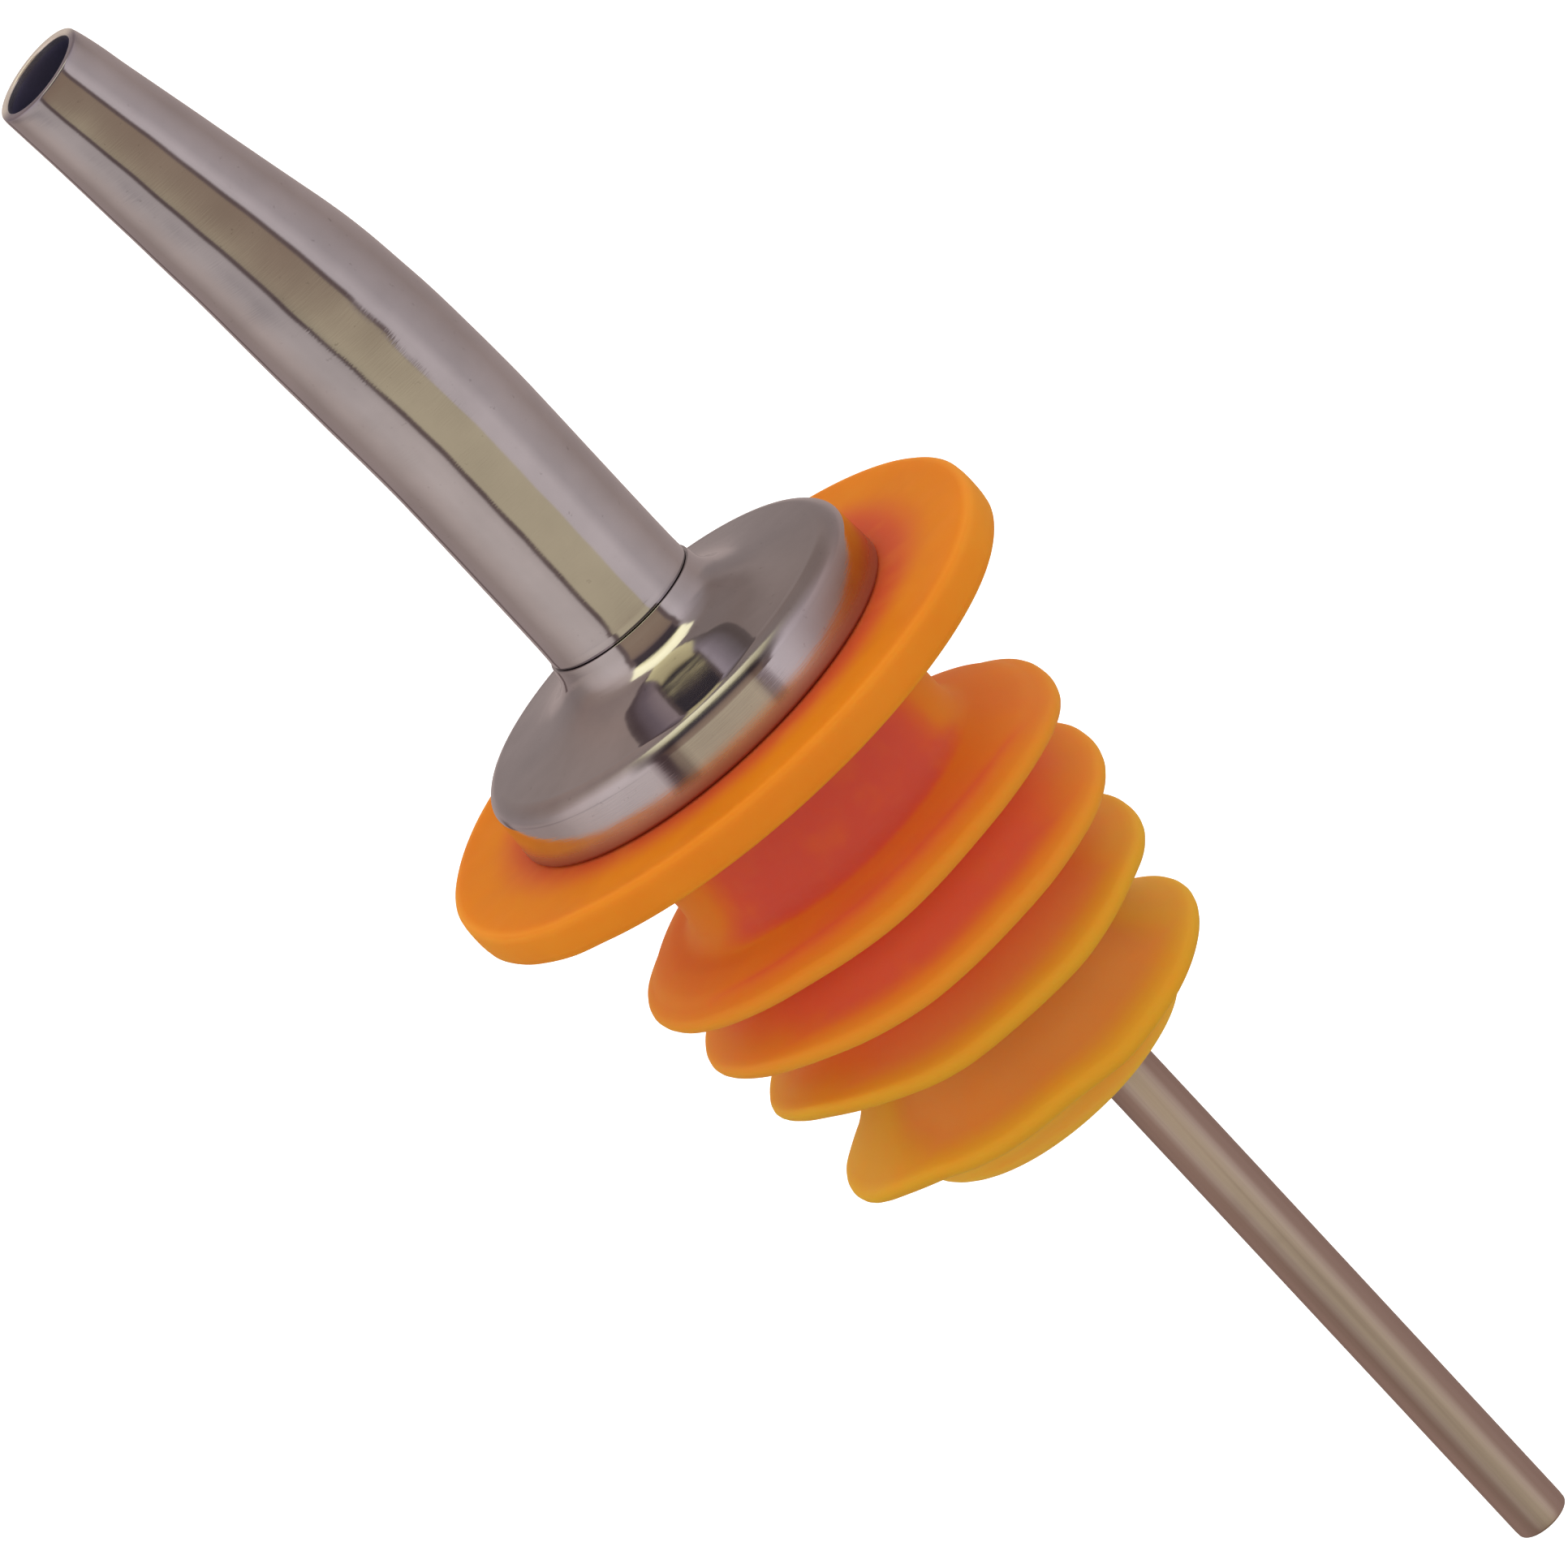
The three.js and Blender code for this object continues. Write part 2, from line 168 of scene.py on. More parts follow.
class Graph:
    """Short names for building a node tree."""

    def __init__(self, tree):
        self.t = tree
        tree.nodes.clear()

    def node(self, kind, **settings):
        n = self.t.nodes.new(kind)
        for k, v in settings.items():
            setattr(n, k, v)
        return n

    def link(self, a, b):
        self.t.links.new(a, b)

    def put(self, socket, value):
        if isinstance(value, bpy.types.NodeSocket):
            self.link(value, socket)
        else:
            socket.default_value = value

    def math(self, op, a, b=0.0, c=0.0, clamp=False):
        n = self.node("ShaderNodeMath", operation=op, use_clamp=clamp)
        for s, v in zip(n.inputs, (a, b, c)):
            self.put(s, v)
        return n.outputs[0]

    def vmath(self, op, a, b=(0, 0, 0)):
        n = self.node("ShaderNodeVectorMath", operation=op)
        self.put(n.inputs[0], a)
        self.put(n.inputs[1], b)
        return n.outputs[0]

    def smooth(self, v, lo, hi, out_lo=0.0, out_hi=1.0):
        n = self.node("ShaderNodeMapRange", interpolation_type="SMOOTHSTEP", clamp=True)
        for s, x in zip(n.inputs, (v, lo, hi, out_lo, out_hi)):
            self.put(s, x)
        return n.outputs[0]

    def linear(self, v, lo, hi, out_lo=0.0, out_hi=1.0):
        n = self.node("ShaderNodeMapRange", interpolation_type="LINEAR", clamp=True)
        for s, x in zip(n.inputs, (v, lo, hi, out_lo, out_hi)):
            self.put(s, x)
        return n.outputs[0]

    def mix(self, fac, a, b, blend="MIX"):
        n = self.node("ShaderNodeMix", data_type="RGBA", blend_type=blend, clamp_factor=True)
        self.put(n.inputs[0], fac)
        self.put(n.inputs[6], a)
        self.put(n.inputs[7], b)
        return n.outputs[2]

    def ramp(self, fac, stops, mode="LINEAR"):
        n = self.node("ShaderNodeValToRGB")
        n.color_ramp.interpolation = mode
        els = n.color_ramp.elements
        while len(els) > 1:
            els.remove(els[-1])
        els[0].position, els[0].color = stops[0]
        for pos, col in stops[1:]:
            e = els.new(pos)
            e.color = col
        self.put(n.inputs[0], fac)
        return n.outputs[0]

    def noise(self, vector, scale, detail=2.0, rough=0.5, distortion=0.0):
        n = self.node("ShaderNodeTexNoise")
        self.put(n.inputs["Vector"], vector)
        n.inputs["Scale"].default_value = scale
        n.inputs["Detail"].default_value = detail
        n.inputs["Roughness"].default_value = rough
        n.inputs["Distortion"].default_value = distortion
        return n.outputs[0]

    def attribute(self, name):
        n = self.node("ShaderNodeAttribute", attribute_name=name)
        return n.outputs["Fac"]

    def bump(self, height, strength, distance, normal=None):
        n = self.node("ShaderNodeBump")
        n.inputs["Strength"].default_value = strength
        n.inputs["Distance"].default_value = distance
        self.put(n.inputs["Height"], height)
        if normal is not None:
            self.link(normal, n.inputs["Normal"])
        return n.outputs[0]


def new_material(name):
    m = bpy.data.materials.new(name)
    m.use_nodes = True
    g = Graph(m.node_tree)
    out = g.node("ShaderNodeOutputMaterial")
    bsdf = g.node("ShaderNodeBsdfPrincipled")
    g.link(bsdf.outputs[0], out.inputs["Surface"])
    return m, g, bsdf


def chrome_material(name, tint, rough, inside=None, stains_and_painted_light=False, dulled=False):
    """Bright plating: near-mirror, with faint polishing lines, small stains and fine pits."""
    m, g, b = new_material(name)
    pos = g.node("ShaderNodeTexCoord").outputs["Object"]
    cloud = g.noise(pos, 260.0, 3.0, 0.55)
    fine = g.noise(pos, 2600.0, 3.0, 0.6)
    stretch = g.vmath("MULTIPLY", pos, (1.0, 1.0, 14.0))
    lines = g.noise(stretch, 900.0, 2.0, 0.5)
    darker = tuple(c * 0.9 for c in tint[:3]) + (1.0,)
    colour = g.mix(g.linear(cloud, 0.35, 0.65), darker, tint)
    spots = g.smooth(fine, 0.66, 0.78)
    colour = g.mix(g.math("MULTIPLY", spots, 0.25), colour, srgb(92, 80, 76))
    if inside is not None:
        colour = g.mix(g.attribute("inside"), colour, inside)
        # painted highlight: the far half of the spout's rim top is painted a bright cream
        colour = g.mix(g.attribute("rim"), colour, srgb(255, 246, 232))
    if stains_and_painted_light:
        film = g.math("MULTIPLY", g.attribute("stain"), g.linear(cloud, 0.3, 0.7, 0.75, 1.0))
        colour = g.mix(film, colour, srgb(156, 116, 95))
        # painted shade, darker and warmer, at the foot of the collar's wall where it meets the flange
        colour = g.mix(g.attribute("foot"), colour, srgb(166, 130, 114))
        # painted light: the wall's plating is painted brighter than the shoulder's, which brightens what it reflects
        colour = g.mix(g.attribute("wall"), colour, g.mix(1.0, colour, (1.13, 1.13, 1.16, 1), "MULTIPLY"))
        # painted reflection: a dark band on the front of the shoulder
        colour = g.mix(g.attribute("painted_shoulder_dark"), colour, g.mix(1.0, colour, (0.44, 0.42, 0.40, 1), "MULTIPLY"))
        # painted reflection: two dark vertical bands on the wall
        colour = g.mix(g.attribute("painted_dark_bands"), colour, g.mix(1.0, colour, (0.52, 0.46, 0.48, 1), "MULTIPLY"))
    if dulled:
        colour = g.mix(g.attribute("dull"), colour, g.mix(1.0, colour, (0.86, 0.87, 0.89, 1), "MULTIPLY"))
    g.link(colour, b.inputs["Base Color"])
    b.inputs["Metallic"].default_value = 1.0
    if inside is not None:
        # the painted highlight on the rim is also made less metallic
        g.link(g.math("SUBTRACT", 1.0, g.math("MULTIPLY", g.attribute("rim"), 0.32)), b.inputs["Metallic"])
    rough_value = g.math("ADD", g.linear(cloud, 0.3, 0.7, rough * 0.7, rough * 1.25), g.math("MULTIPLY", lines, rough * 0.4))
    if inside is not None:
        rough_value = g.math("ADD", rough_value, g.math("MULTIPLY", g.attribute("inside"), 0.3))
        rough_value = g.math("ADD", rough_value, g.math("MULTIPLY", g.attribute("rim"), 0.2))
    if stains_and_painted_light:
        rough_value = g.math("ADD", rough_value, g.math("MULTIPLY", g.attribute("foot"), 0.2))
        rough_value = g.math("ADD", rough_value, g.math("MULTIPLY", g.attribute("haze"), 0.13))
    g.link(rough_value, b.inputs["Roughness"])
    n1 = g.bump(lines, 0.10, 0.00002)
    n2 = g.bump(cloud, 0.12, 0.00005, n1)
    g.link(n2, b.inputs["Normal"])
    return m


def steel_tube_material(name, light, dark, rough, edge=None, shaded=False):
    """Drawn tube: lengthwise draw lines of varying brightness, a satin surface and a few stains."""
    m, g, b = new_material(name)
    pos = g.node("ShaderNodeTexCoord").outputs["Object"]
    along = g.vmath("MULTIPLY", pos, (1.0, 1.0, 0.012))
    streak = g.noise(along, 2200.0, 4.0, 0.65)
    broad = g.noise(along, 650.0, 2.0, 0.5)
    cloud = g.noise(pos, 180.0, 3.0, 0.6)
    f = g.math("ADD", g.math("MULTIPLY", streak, 0.55), g.math("MULTIPLY", broad, 0.45))
    colour = g.mix(g.linear(f, 0.36, 0.64), dark, light)
    colour = g.mix(g.math("MULTIPLY", g.smooth(cloud, 0.55, 0.75), 0.25), colour, srgb(120, 104, 88))
    if edge is not None:
        # the satin surface darkens as it turns away
        facing = g.node("ShaderNodeLayerWeight")
        facing.inputs["Blend"].default_value = 0.5
        colour = g.mix(g.math("MULTIPLY", g.smooth(facing.outputs["Facing"], 0.06, 0.26), 0.9), colour, edge)
    if shaded:
        # painted shade: one side is painted darker, more so towards the end that stands in the liquor
        colour = g.mix(g.attribute("painted_side_shade"), colour, g.mix(1.0, colour, (0.77, 0.76, 0.75, 1), "MULTIPLY"))
    g.link(colour, b.inputs["Base Color"])
    b.inputs["Metallic"].default_value = 1.0
    g.link(g.linear(f, 0.3, 0.7, rough * 1.2, rough * 0.8), b.inputs["Roughness"])
    g.link(g.bump(streak, 0.25, 0.00003), b.inputs["Normal"])
    return m


def solder_material():
    m, g, b = new_material("solder_dull")
    pos = g.node("ShaderNodeTexCoord").outputs["Object"]
    cloud = g.noise(pos, 900.0, 4.0, 0.6)
    g.link(g.mix(g.linear(cloud, 0.35, 0.65), srgb(120, 118, 112), srgb(168, 167, 162)), b.inputs["Base Color"])
    b.inputs["Metallic"].default_value = 1.0
    g.link(g.linear(cloud, 0.3, 0.7, 0.55, 0.35), b.inputs["Roughness"])
    g.link(g.bump(cloud, 0.5, 0.0001), b.inputs["Normal"])
    return m


def stopper_material():
    """Soft translucent plastic: deep red where it is thick, orange at the sides and amber at the thin fin edges."""
    m, g, b = new_material("soft_orange_plastic")
    pos = g.node("ShaderNodeTexCoord").outputs["Object"]
    lip, low, flange, below = (g.attribute(k) for k in ("lip", "low", "flange", "below"))
    cloud = g.noise(pos, 160.0, 3.0, 0.55)
    patch = g.noise(pos, 420.0, 2.0, 0.5)
    wobble = g.math("MULTIPLY", g.math("SUBTRACT", cloud, 0.5), 0.22)
    # the edge-on faces let more light through than the square-on ones
    facing = g.node("ShaderNodeLayerWeight")
    facing.inputs["Blend"].default_value = 0.5
    thin = g.math("MULTIPLY", g.smooth(facing.outputs["Facing"], 0.19, 0.55), 0.86)
    t = g.math("ADD", g.math("MAXIMUM", lip, thin), wobble, clamp=True)
    upper = g.ramp(t, UPPER)
    lower = g.ramp(t, LOWER)
    colour = g.mix(low, upper, lower)
    colour = g.mix(g.math("MULTIPLY", g.attribute("groove"), 0.7), colour, g.mix(low, srgb(250, 126, 82), srgb(240, 154, 80)))
    colour = g.mix(below, colour, g.mix(t, BELOW[0], BELOW[1]))
    top = g.mix(g.linear(cloud, 0.35, 0.65), FLANGE[0], FLANGE[1])
    # painted shade on the flange's top around the collar
    top = g.mix(g.attribute("painted_collar_shade"), top, FLANGE[2])
    # the flange's side tones, painted lighter as painted light
    side = g.mix(g.linear(cloud, 0.35, 0.65), FLANGE[3], FLANGE[4])
    top = g.mix(g.attribute("painted_flange_side_light"), top, side)
    colour = g.mix(flange, colour, top)
    colour = g.mix(g.math("MULTIPLY", g.smooth(patch, 0.45, 0.8), 0.18), colour, srgb(238, 140, 40))
    g.link(colour, b.inputs["Base Color"])
    grain = g.noise(pos, 4200.0, 2.0, 0.5)
    g.link(g.linear(cloud, 0.3, 0.7, 0.46, 0.6), b.inputs["Roughness"])
    b.inputs["Specular IOR Level"].default_value = 0.05
    b.inputs["Subsurface Weight"].default_value = 0.5
    b.inputs["Subsurface Radius"].default_value = (1.0, 0.4, 0.15)
    b.inputs["Subsurface Scale"].default_value = 0.0018
    n1 = g.bump(grain, 0.12, 0.00003)
    g.link(g.bump(cloud, 0.2, 0.0002, n1), b.inputs["Normal"])
    return m


UPPER = [
    (0.0, srgb(218, 95, 76)),
    (0.3, srgb(222, 100, 70)),
    (0.6, srgb(226, 114, 58)),
    (0.8, srgb(229, 132, 48)),
    (1.0, srgb(229, 146, 46)),
]
LOWER = [
    (0.0, srgb(226, 148, 72)),
    (0.4, srgb(220, 139, 64)),
    (0.65, srgb(218, 143, 54)),
    (0.85, srgb(218, 152, 46)),
    (1.0, srgb(220, 162, 46)),
]
BELOW = [srgb(235, 172, 70), srgb(238, 178, 64)]
# the flange's two top tones, its painted shade around the collar, and its side's two tones painted lighter as painted
# light
FLANGE = [srgb(221, 121, 18), srgb(226, 127, 18), srgb(216, 86, 46), srgb(231, 139, 38), srgb(234, 145, 42)]


# ---------------------------------------------------------------- stopper
BORE_R, CORE_R, FLANGE_R, END_R = 5.3, 7.5, 16.95, 8.17
FIN_Z = [-9.02, -13.41, -17.6, -22.83]
FIN_R = [13.19, 12.67, 11.9, 11.52]
# each fin's upper face, from the edge inwards to the core
FIN_TOP = [
    [(12.55, -8.42), (11.9, -7.9), (10.9, -7.47), (10.0, -7.15), (9.3, -6.88), (8.86, -6.5), (8.68, -6.0)],
    [(12.03, -12.82), (11.1, -12.3), (10.0, -11.6), (9.0, -10.8), (8.35, -10.2)],
    [(11.28, -17.02), (10.4, -16.45), (9.4, -15.75), (8.6, -15.0), (8.1, -14.55)],
    [(10.88, -22.22), (10.0, -21.65), (9.1, -20.9), (8.4, -20.0), (8.0, -19.2), (7.9, -18.8)],
]
# use has left the fins bent: how far each edge stands above its even height, by angle from +X
FIN_BEND = [
    [(0, -0.4), (8, -0.2), (30, -0.12), (90, 0.02), (150, 0.08), (165, 0.24), (180, 0.33), (200, 0.42), (220, 0.58), (240, 0.64), (252, 0.5), (268, 0.32), (290, 0.38), (305, 0.24), (320, 0), (335, -0.35), (348, -0.56)],
    [(0, -0.12), (10, 0.16), (60, 0.3), (120, 0.42), (168, 0.7), (182, 0.78), (200, 1.03), (215, 1.06), (228, 0.93), (240, 0.62), (252, 0.34), (262, 0.19), (284, 0.15), (300, 0.0), (314, -0.12), (325, -0.28), (345, -0.36)],
    [(0, -0.2), (12, 0.06), (60, 0.25), (120, 0.42), (165, 0.62), (180, 0.88), (196, 1.35), (210, 1.55), (222, 1.36), (234, 1.0), (246, 0.52), (254, 0.32), (270, 0.2), (282, 0.06), (296, -0.12), (320, -0.06), (338, -0.3), (350, -0.38)],
    [(0, -0.12), (20, -0.16), (90, -0.2), (150, -0.3), (166, -0.09), (180, 0.06), (190, 0.12), (200, 0.42), (212, 0.8), (226, 0.96), (238, 0.62), (248, 0.42), (269, 0.33), (277, 0.1), (288, -0.26), (312, -0.3), (335, -0.17)],
]
# and the flange's edge
FLANGE_FLAT_R = 14.4
FLANGE_BEND = [(0, -0.08), (8, 0.0), (20, 0.03), (40, 0.0), (60, -0.06), (90, 0.04), (120, 0.17), (140, 0.2), (150, 0.16), (160, 0.12), (180, 0.03), (195, 0.0), (205, -0.08), (214, -0.08), (225, 0.05), (250, 0.03), (270, -0.02), (290, -0.1), (300, -0.14), (312, -0.2), (330, -0.25), (338, -0.2), (352, -0.12)]
END_Z = -25.9
ECC = [(-26, 0.6), (-25.5, 0.45), (-25.0, 0.24), (-24.2, 0.18), (-22.83, 0.0), (-20, 0.15), (-17.6, 0.26), (-13.41, 0.34), (-9.02, 0.4), (-6.5, 0.5), (-5, 0.55), (-2.5, 0.5), (-0.5, 0.38), (0.9, 0.36), (3.0, 0.36)]

outline = [(BORE_R, END_Z), (END_R - 1.6, END_Z), (END_R - 0.95, END_Z + 0.1), (END_R - 0.34, END_Z + 0.42), (END_R - 0.04, END_Z + 0.9), (END_R + 0.02, END_Z + 1.3)]
for k in (3, 2, 1, 0):
    z, R = FIN_Z[k], FIN_R[k]
    if k < 3:
        core = FIN_TOP[k + 1][-1][0]
        outline += [(core + 0.14, z - 0.86), (core + 0.8, z - 0.66)]
    else:
        outline += [(END_R + 0.22, z - 1.3), (END_R + 0.75, z - 0.92), (END_R + 1.5, z - 0.68)]
    outline += [
        (R - 1.5, z - 0.62),
        (R - 0.62, z - 0.6),
        (R - 0.2, z - 0.4),
        (R - 0.01, z - 0.02),
        (R - 0.16, z + 0.34),
    ] + FIN_TOP[k]
outline += [
    (8.68, -2.8),
    (8.86, -1.7),
    (9.3, -0.85),
    (10.1, -0.28),
    (11.4, -0.01),
    (14.0, 0.0),
    (15.4, -0.03),
    (FLANGE_R - 0.6, -0.08),
    (FLANGE_R - 0.28, -0.05),
    (FLANGE_R - 0.08, 0.12),
    (FLANGE_R - 0.03, 0.45),
    (FLANGE_R - 0.01, 1.0),
    (FLANGE_R - 0.03, 1.55),
    (FLANGE_R - 0.08, 1.87),
    (FLANGE_R - 0.28, 2.04),
    (FLANGE_R - 0.6, 2.08),
    (15.4, 2.03),
    (14.0, 2.0),
    (11.6, 2.0),
    (9.0, 2.0),
    (BORE_R + 0.15, 2.0),
]
prof = spline(outline, 0.24)
# the bore wall stays straight
keep = ~((prof[:, 0] < BORE_R + 0.02) & (prof[:, 1] > END_Z + 0.1) & (prof[:, 1] < 1.8))
prof = prof[keep]
prof[:, 0] = np.maximum(prof[:, 0], BORE_R)
prof[:, 1] = np.clip(prof[:, 1], END_Z, np.where(prof[:, 0] > 13.5, 2.09, 2.0))
bore = np.array([(BORE_R, v) for v in np.linspace(1.8, END_Z + 0.15, 24)])
prof = np.vstack([prof, bore])

pr, pz = prof[:, 0], prof[:, 1]
# the fin each profile point belongs to: from just under its edge up to the next fin's underside
fin_lo = np.array([z - 0.92 for z in FIN_Z])
near = np.array([next((k for k in range(4) if v >= fin_lo[k]), 3) for v in pz])
fin_r = np.array(FIN_R)[near]
reach = np.clip((pr - 8.2) / (fin_r - 8.2), 0, 1)
reach = np.where(near == 0, reach**1.5, reach)
on_flange = smooth01(pz, -1.3, -0.25)
at_edge = smooth01(pr, fin_r - 2.9, fin_r - 0.05) * (1 - smooth01(pz, -1.3, -0.25))
lip = at_edge
below = smooth01(-pz, -FIN_Z[3] + 0.3, -FIN_Z[3] + 1.2)
low = smooth01(-pz, 11.5, 19.0)
# the two grooves between the first three fins, where light that comes through the fins meets
groove = smooth01(-pz, 9.6, 10.6) * (1 - smooth01(-pz, 14.4, 17.6)) * (1 - smooth01(pr, 9.6, 11.6))
# painted shade on the flange's top around the foot of the collar
painted_collar_shade = on_flange * smooth01(pz, 1.2, 1.9) * (1 - smooth01(pr, 11.8, 14.6))
# painted light: the flange's outer side is painted lighter, as bright as the top though it gets less light
painted_flange_side_light = on_flange * smooth01(pr, 16.35, 16.85)


def bend_fn(table):
    t = [(a - 360, v) for a, v in table] + table + [(a + 360, v) for a, v in table]
    return curve_fn(t)


BENDS = [bend_fn(t) for t in FIN_BEND]
flange_bend = bend_fn(FLANGE_BEND)


def stopper_move(X, Y, Z, R, PHI):
    outward = smooth01(R, BORE_R + 0.3, CORE_R + 0.5)
    ecc = curve_fn(ECC)(Z)
    angle = np.degrees(PHI) % 360
    t = np.broadcast_to(reach * (1 - on_flange) * (1 - smooth01(-pz, 23.7, 24.3)), R.shape)
    bend = np.stack([f(angle[:, 0]) for f in BENDS], -1)  # one row for each angle
    soft = bend.copy()
    for step in (-2, -1, 1, 2):
        soft += np.roll(bend, step, axis=0)
    dz = t * (soft / 5)[:, near]
    # the uppermost fin sags against the core on the side where it has been pressed down
    side = smooth01(np.cos(PHI - math.radians(184)), 0.55, 0.9)
    dz -= 0.24 * side * np.exp(-(((R - 9.5) / 0.85) ** 2)) * np.broadcast_to(smooth01(pz, -8.2, -7.6) * (1 - smooth01(pz, -5.2, -4.4)), R.shape)
    dz += flange_bend(angle) * on_flange * np.clip((R - FLANGE_FLAT_R) / (FLANGE_R - FLANGE_FLAT_R), 0, 1) ** 1.5
    return X + outward * ecc, Y, Z + dz


stopper = revolve(
    "stopper_moulding",
    prof,
    240,
    stopper_move,
    {"lip": lip, "low": low, "flange": on_flange, "below": below, "painted_collar_shade": painted_collar_shade, "painted_flange_side_light": painted_flange_side_light, "groove": groove},
)
stopper.data.materials.append(stopper_material())
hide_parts("stopper")
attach(stopper, "stopper_body")

# ---------------------------------------------------------------- collar
COLLAR_R, COLLAR_TOP, COLLAR_Z, WALL, SEAM_Z, NECK_BORE = 11.68, 11.525, 2.05, 0.5, 8.5, 4.05
flare = [
    (4.54, 8.3),
    (4.58, 8.0),
    (4.63, 7.78),
    (4.70, 7.58),
    (4.88, 7.27),
    (5.15, 6.98),
    (5.50, 6.70),
    (5.95, 6.44),
    (6.6, 6.17),
    (7.4, 5.97),
    (8.3, 5.81),
    (9.3, 5.67),
    (10.3, 5.545),
]
collar_outline = [
    (COLLAR_R - WALL, COLLAR_Z, 0.15),
    (COLLAR_R, COLLAR_Z, 0.2),
]
# the shoulder turns over gently above and tightly below: its slope against the length along it
q = np.linspace(0, 1.52, 46)
slope = np.radians(np.interp(q, [0, 0.5, 0.92, 1.52], [87.0, 50.0, 36.0, 7.6]))
shoulder_r = COLLAR_TOP - np.concatenate([[0], np.cumsum(np.cos(slope[:-1]) * np.diff(q))])
shoulder_z = np.concatenate([[0], np.cumsum(np.sin(slope[:-1]) * np.diff(q))])
shoulder_z += 5.535 - shoulder_z[-1]
collar_outline += [(float(r), float(z), 0) for r, z in zip(shoulder_r, shoulder_z)]
flare_curve = curve_fn(flare)
neck = [(float(r), float(flare_curve(r))) for r in np.linspace(10.25, 4.545, 90)]
collar_outline += [(r, z, 0) for r, z in neck]
collar_outline += [
    (4.5, SEAM_Z, 0.06),
    (NECK_BORE, SEAM_Z, 0.08),
    (NECK_BORE, 6.6, 0.5),
    (4.6, 6.1, 0.5),
    (5.6, 5.6, 0.5),
    (7.5, 5.2, 0.5),
    (10.3, 4.86, 0.5),
    (COLLAR_TOP - WALL, 4.3, 0.5),
]
collar_profile = rounded(collar_outline, 0.4, 7.0)
# the foot of its wall is dulled by drink that dries in the corner, and painted darker and warmer there as painted
# shade where the wall meets the flange; the dried drink also stains it, more on one side
foot = 1 - smooth01(collar_profile[:, 1], 2.2, 3.2)
around = np.arange(256) * 2 * np.pi / 256
stain = (0.06 + 0.94 * smooth01(np.cos(around - math.radians(346)), 0.55, 0.93))[:, None] * (1 - smooth01(collar_profile[:, 1], 3.2, 6.0))[None, :]


def collar_move(X, Y, Z, R, PHI):
    return X - 0.14 * smooth01(R, 4.8, 7.5), Y, Z  # the pressing is a little out of true on its neck


# the wall below the shoulder, whose plating is painted brighter as painted light
wall = 1 - smooth01(collar_profile[:, 1], 4.95, 5.3)
# handling has hazed the plating low on the wall and along the shoulder
on_shoulder = smooth01(collar_profile[:, 0], 10.7, 11.2) * smooth01(collar_profile[:, 1], 4.7, 5.0)
haze = np.maximum(1 - smooth01(collar_profile[:, 1], 2.2, 4.4), 0.9 * on_shoulder)
# two faint dark vertical bands on the front of the wall, painted reflections of dark borders
deg = np.degrees(around)
dark_band_angles = np.maximum(smooth01(deg, 248.5, 252) * (1 - smooth01(deg, 256.5, 260)), 0.8 * smooth01(deg, 282, 284) * (1 - smooth01(deg, 286, 288.5)))
off_front = np.clip(np.abs(deg - 267) / 20, 0, 1) ** 2
# painted reflection: a dark band along the front of the shoulder, darker towards its two ends
painted_shoulder_dark = (smooth01(deg, 242, 249) * (1 - smooth01(deg, 291, 299)) * (0.5 + 0.4 * off_front))[:, None] * (smooth01(collar_profile[:, 0], 10.92, 11.18) * smooth01(collar_profile[:, 1], 4.7, 5.0))[None, :]
painted_dark_bands = dark_band_angles[:, None] * (wall * smooth01(collar_profile[:, 1], 2.6, 3.2))[None, :]
collar = revolve("collar_pressing", collar_profile, 256, collar_move, {"foot": foot, "stain": stain, "wall": wall, "haze": haze, "painted_dark_bands": painted_dark_bands, "painted_shoulder_dark": painted_shoulder_dark})
CHROME = srgb(210, 208, 208)
collar.data.materials.append(chrome_material("collar_chrome", CHROME, 0.075, stains_and_painted_light=True))
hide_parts("collar")
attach(collar, "collar_body")

# ---------------------------------------------------------------- spout
SPOUT = [
    (8.62, 0, 4.395),
    (8.8, 0, 4.38),
    (9.6, 0, 4.352),
    (12.5, 0, 4.33),
    (16.7, 0, 4.322),
    (20.0, -0.01, 4.322),
    (22.9, -0.1, 4.325),
    (25.0, -0.2, 4.322),
    (27.1, -0.31, 4.295),
    (29.1, -0.46, 4.237),
    (30.8, -0.59, 4.175),
    (32.4, -0.74, 4.08),
    (33.6, -0.88, 3.985),
    (35.3, -1.11, 3.83),
    (37.3, -1.4, 3.666),
    (39.3, -1.68, 3.497),
    (41.35, -1.97, 3.34),
    (43.4, -2.26, 3.175),
    (45.4, -2.55, 3.02),
    (46.8, -2.75, 2.93),
    (47.6, -2.88, 2.86),
    (48.15, -2.98, 2.8),
    (48.45, -3.03, 2.75),
]
TOP_Z, SOCKET_Z, SHANK_TOP_R = 48.43, 17.2, 3.95
lean_f, rad_f = curve_fn(SPOUT, 1), curve_fn(SPOUT, 2)
TILT, DIP = math.radians(10.0), math.radians(5.5)


def spout_inner(z):
    if z <= SOCKET_Z:
        return SHANK_TOP_R + 0.06
    return float(rad_f(z)) - (0.33 + 0.17 * float(smooth01(z, 40, 48.3)))


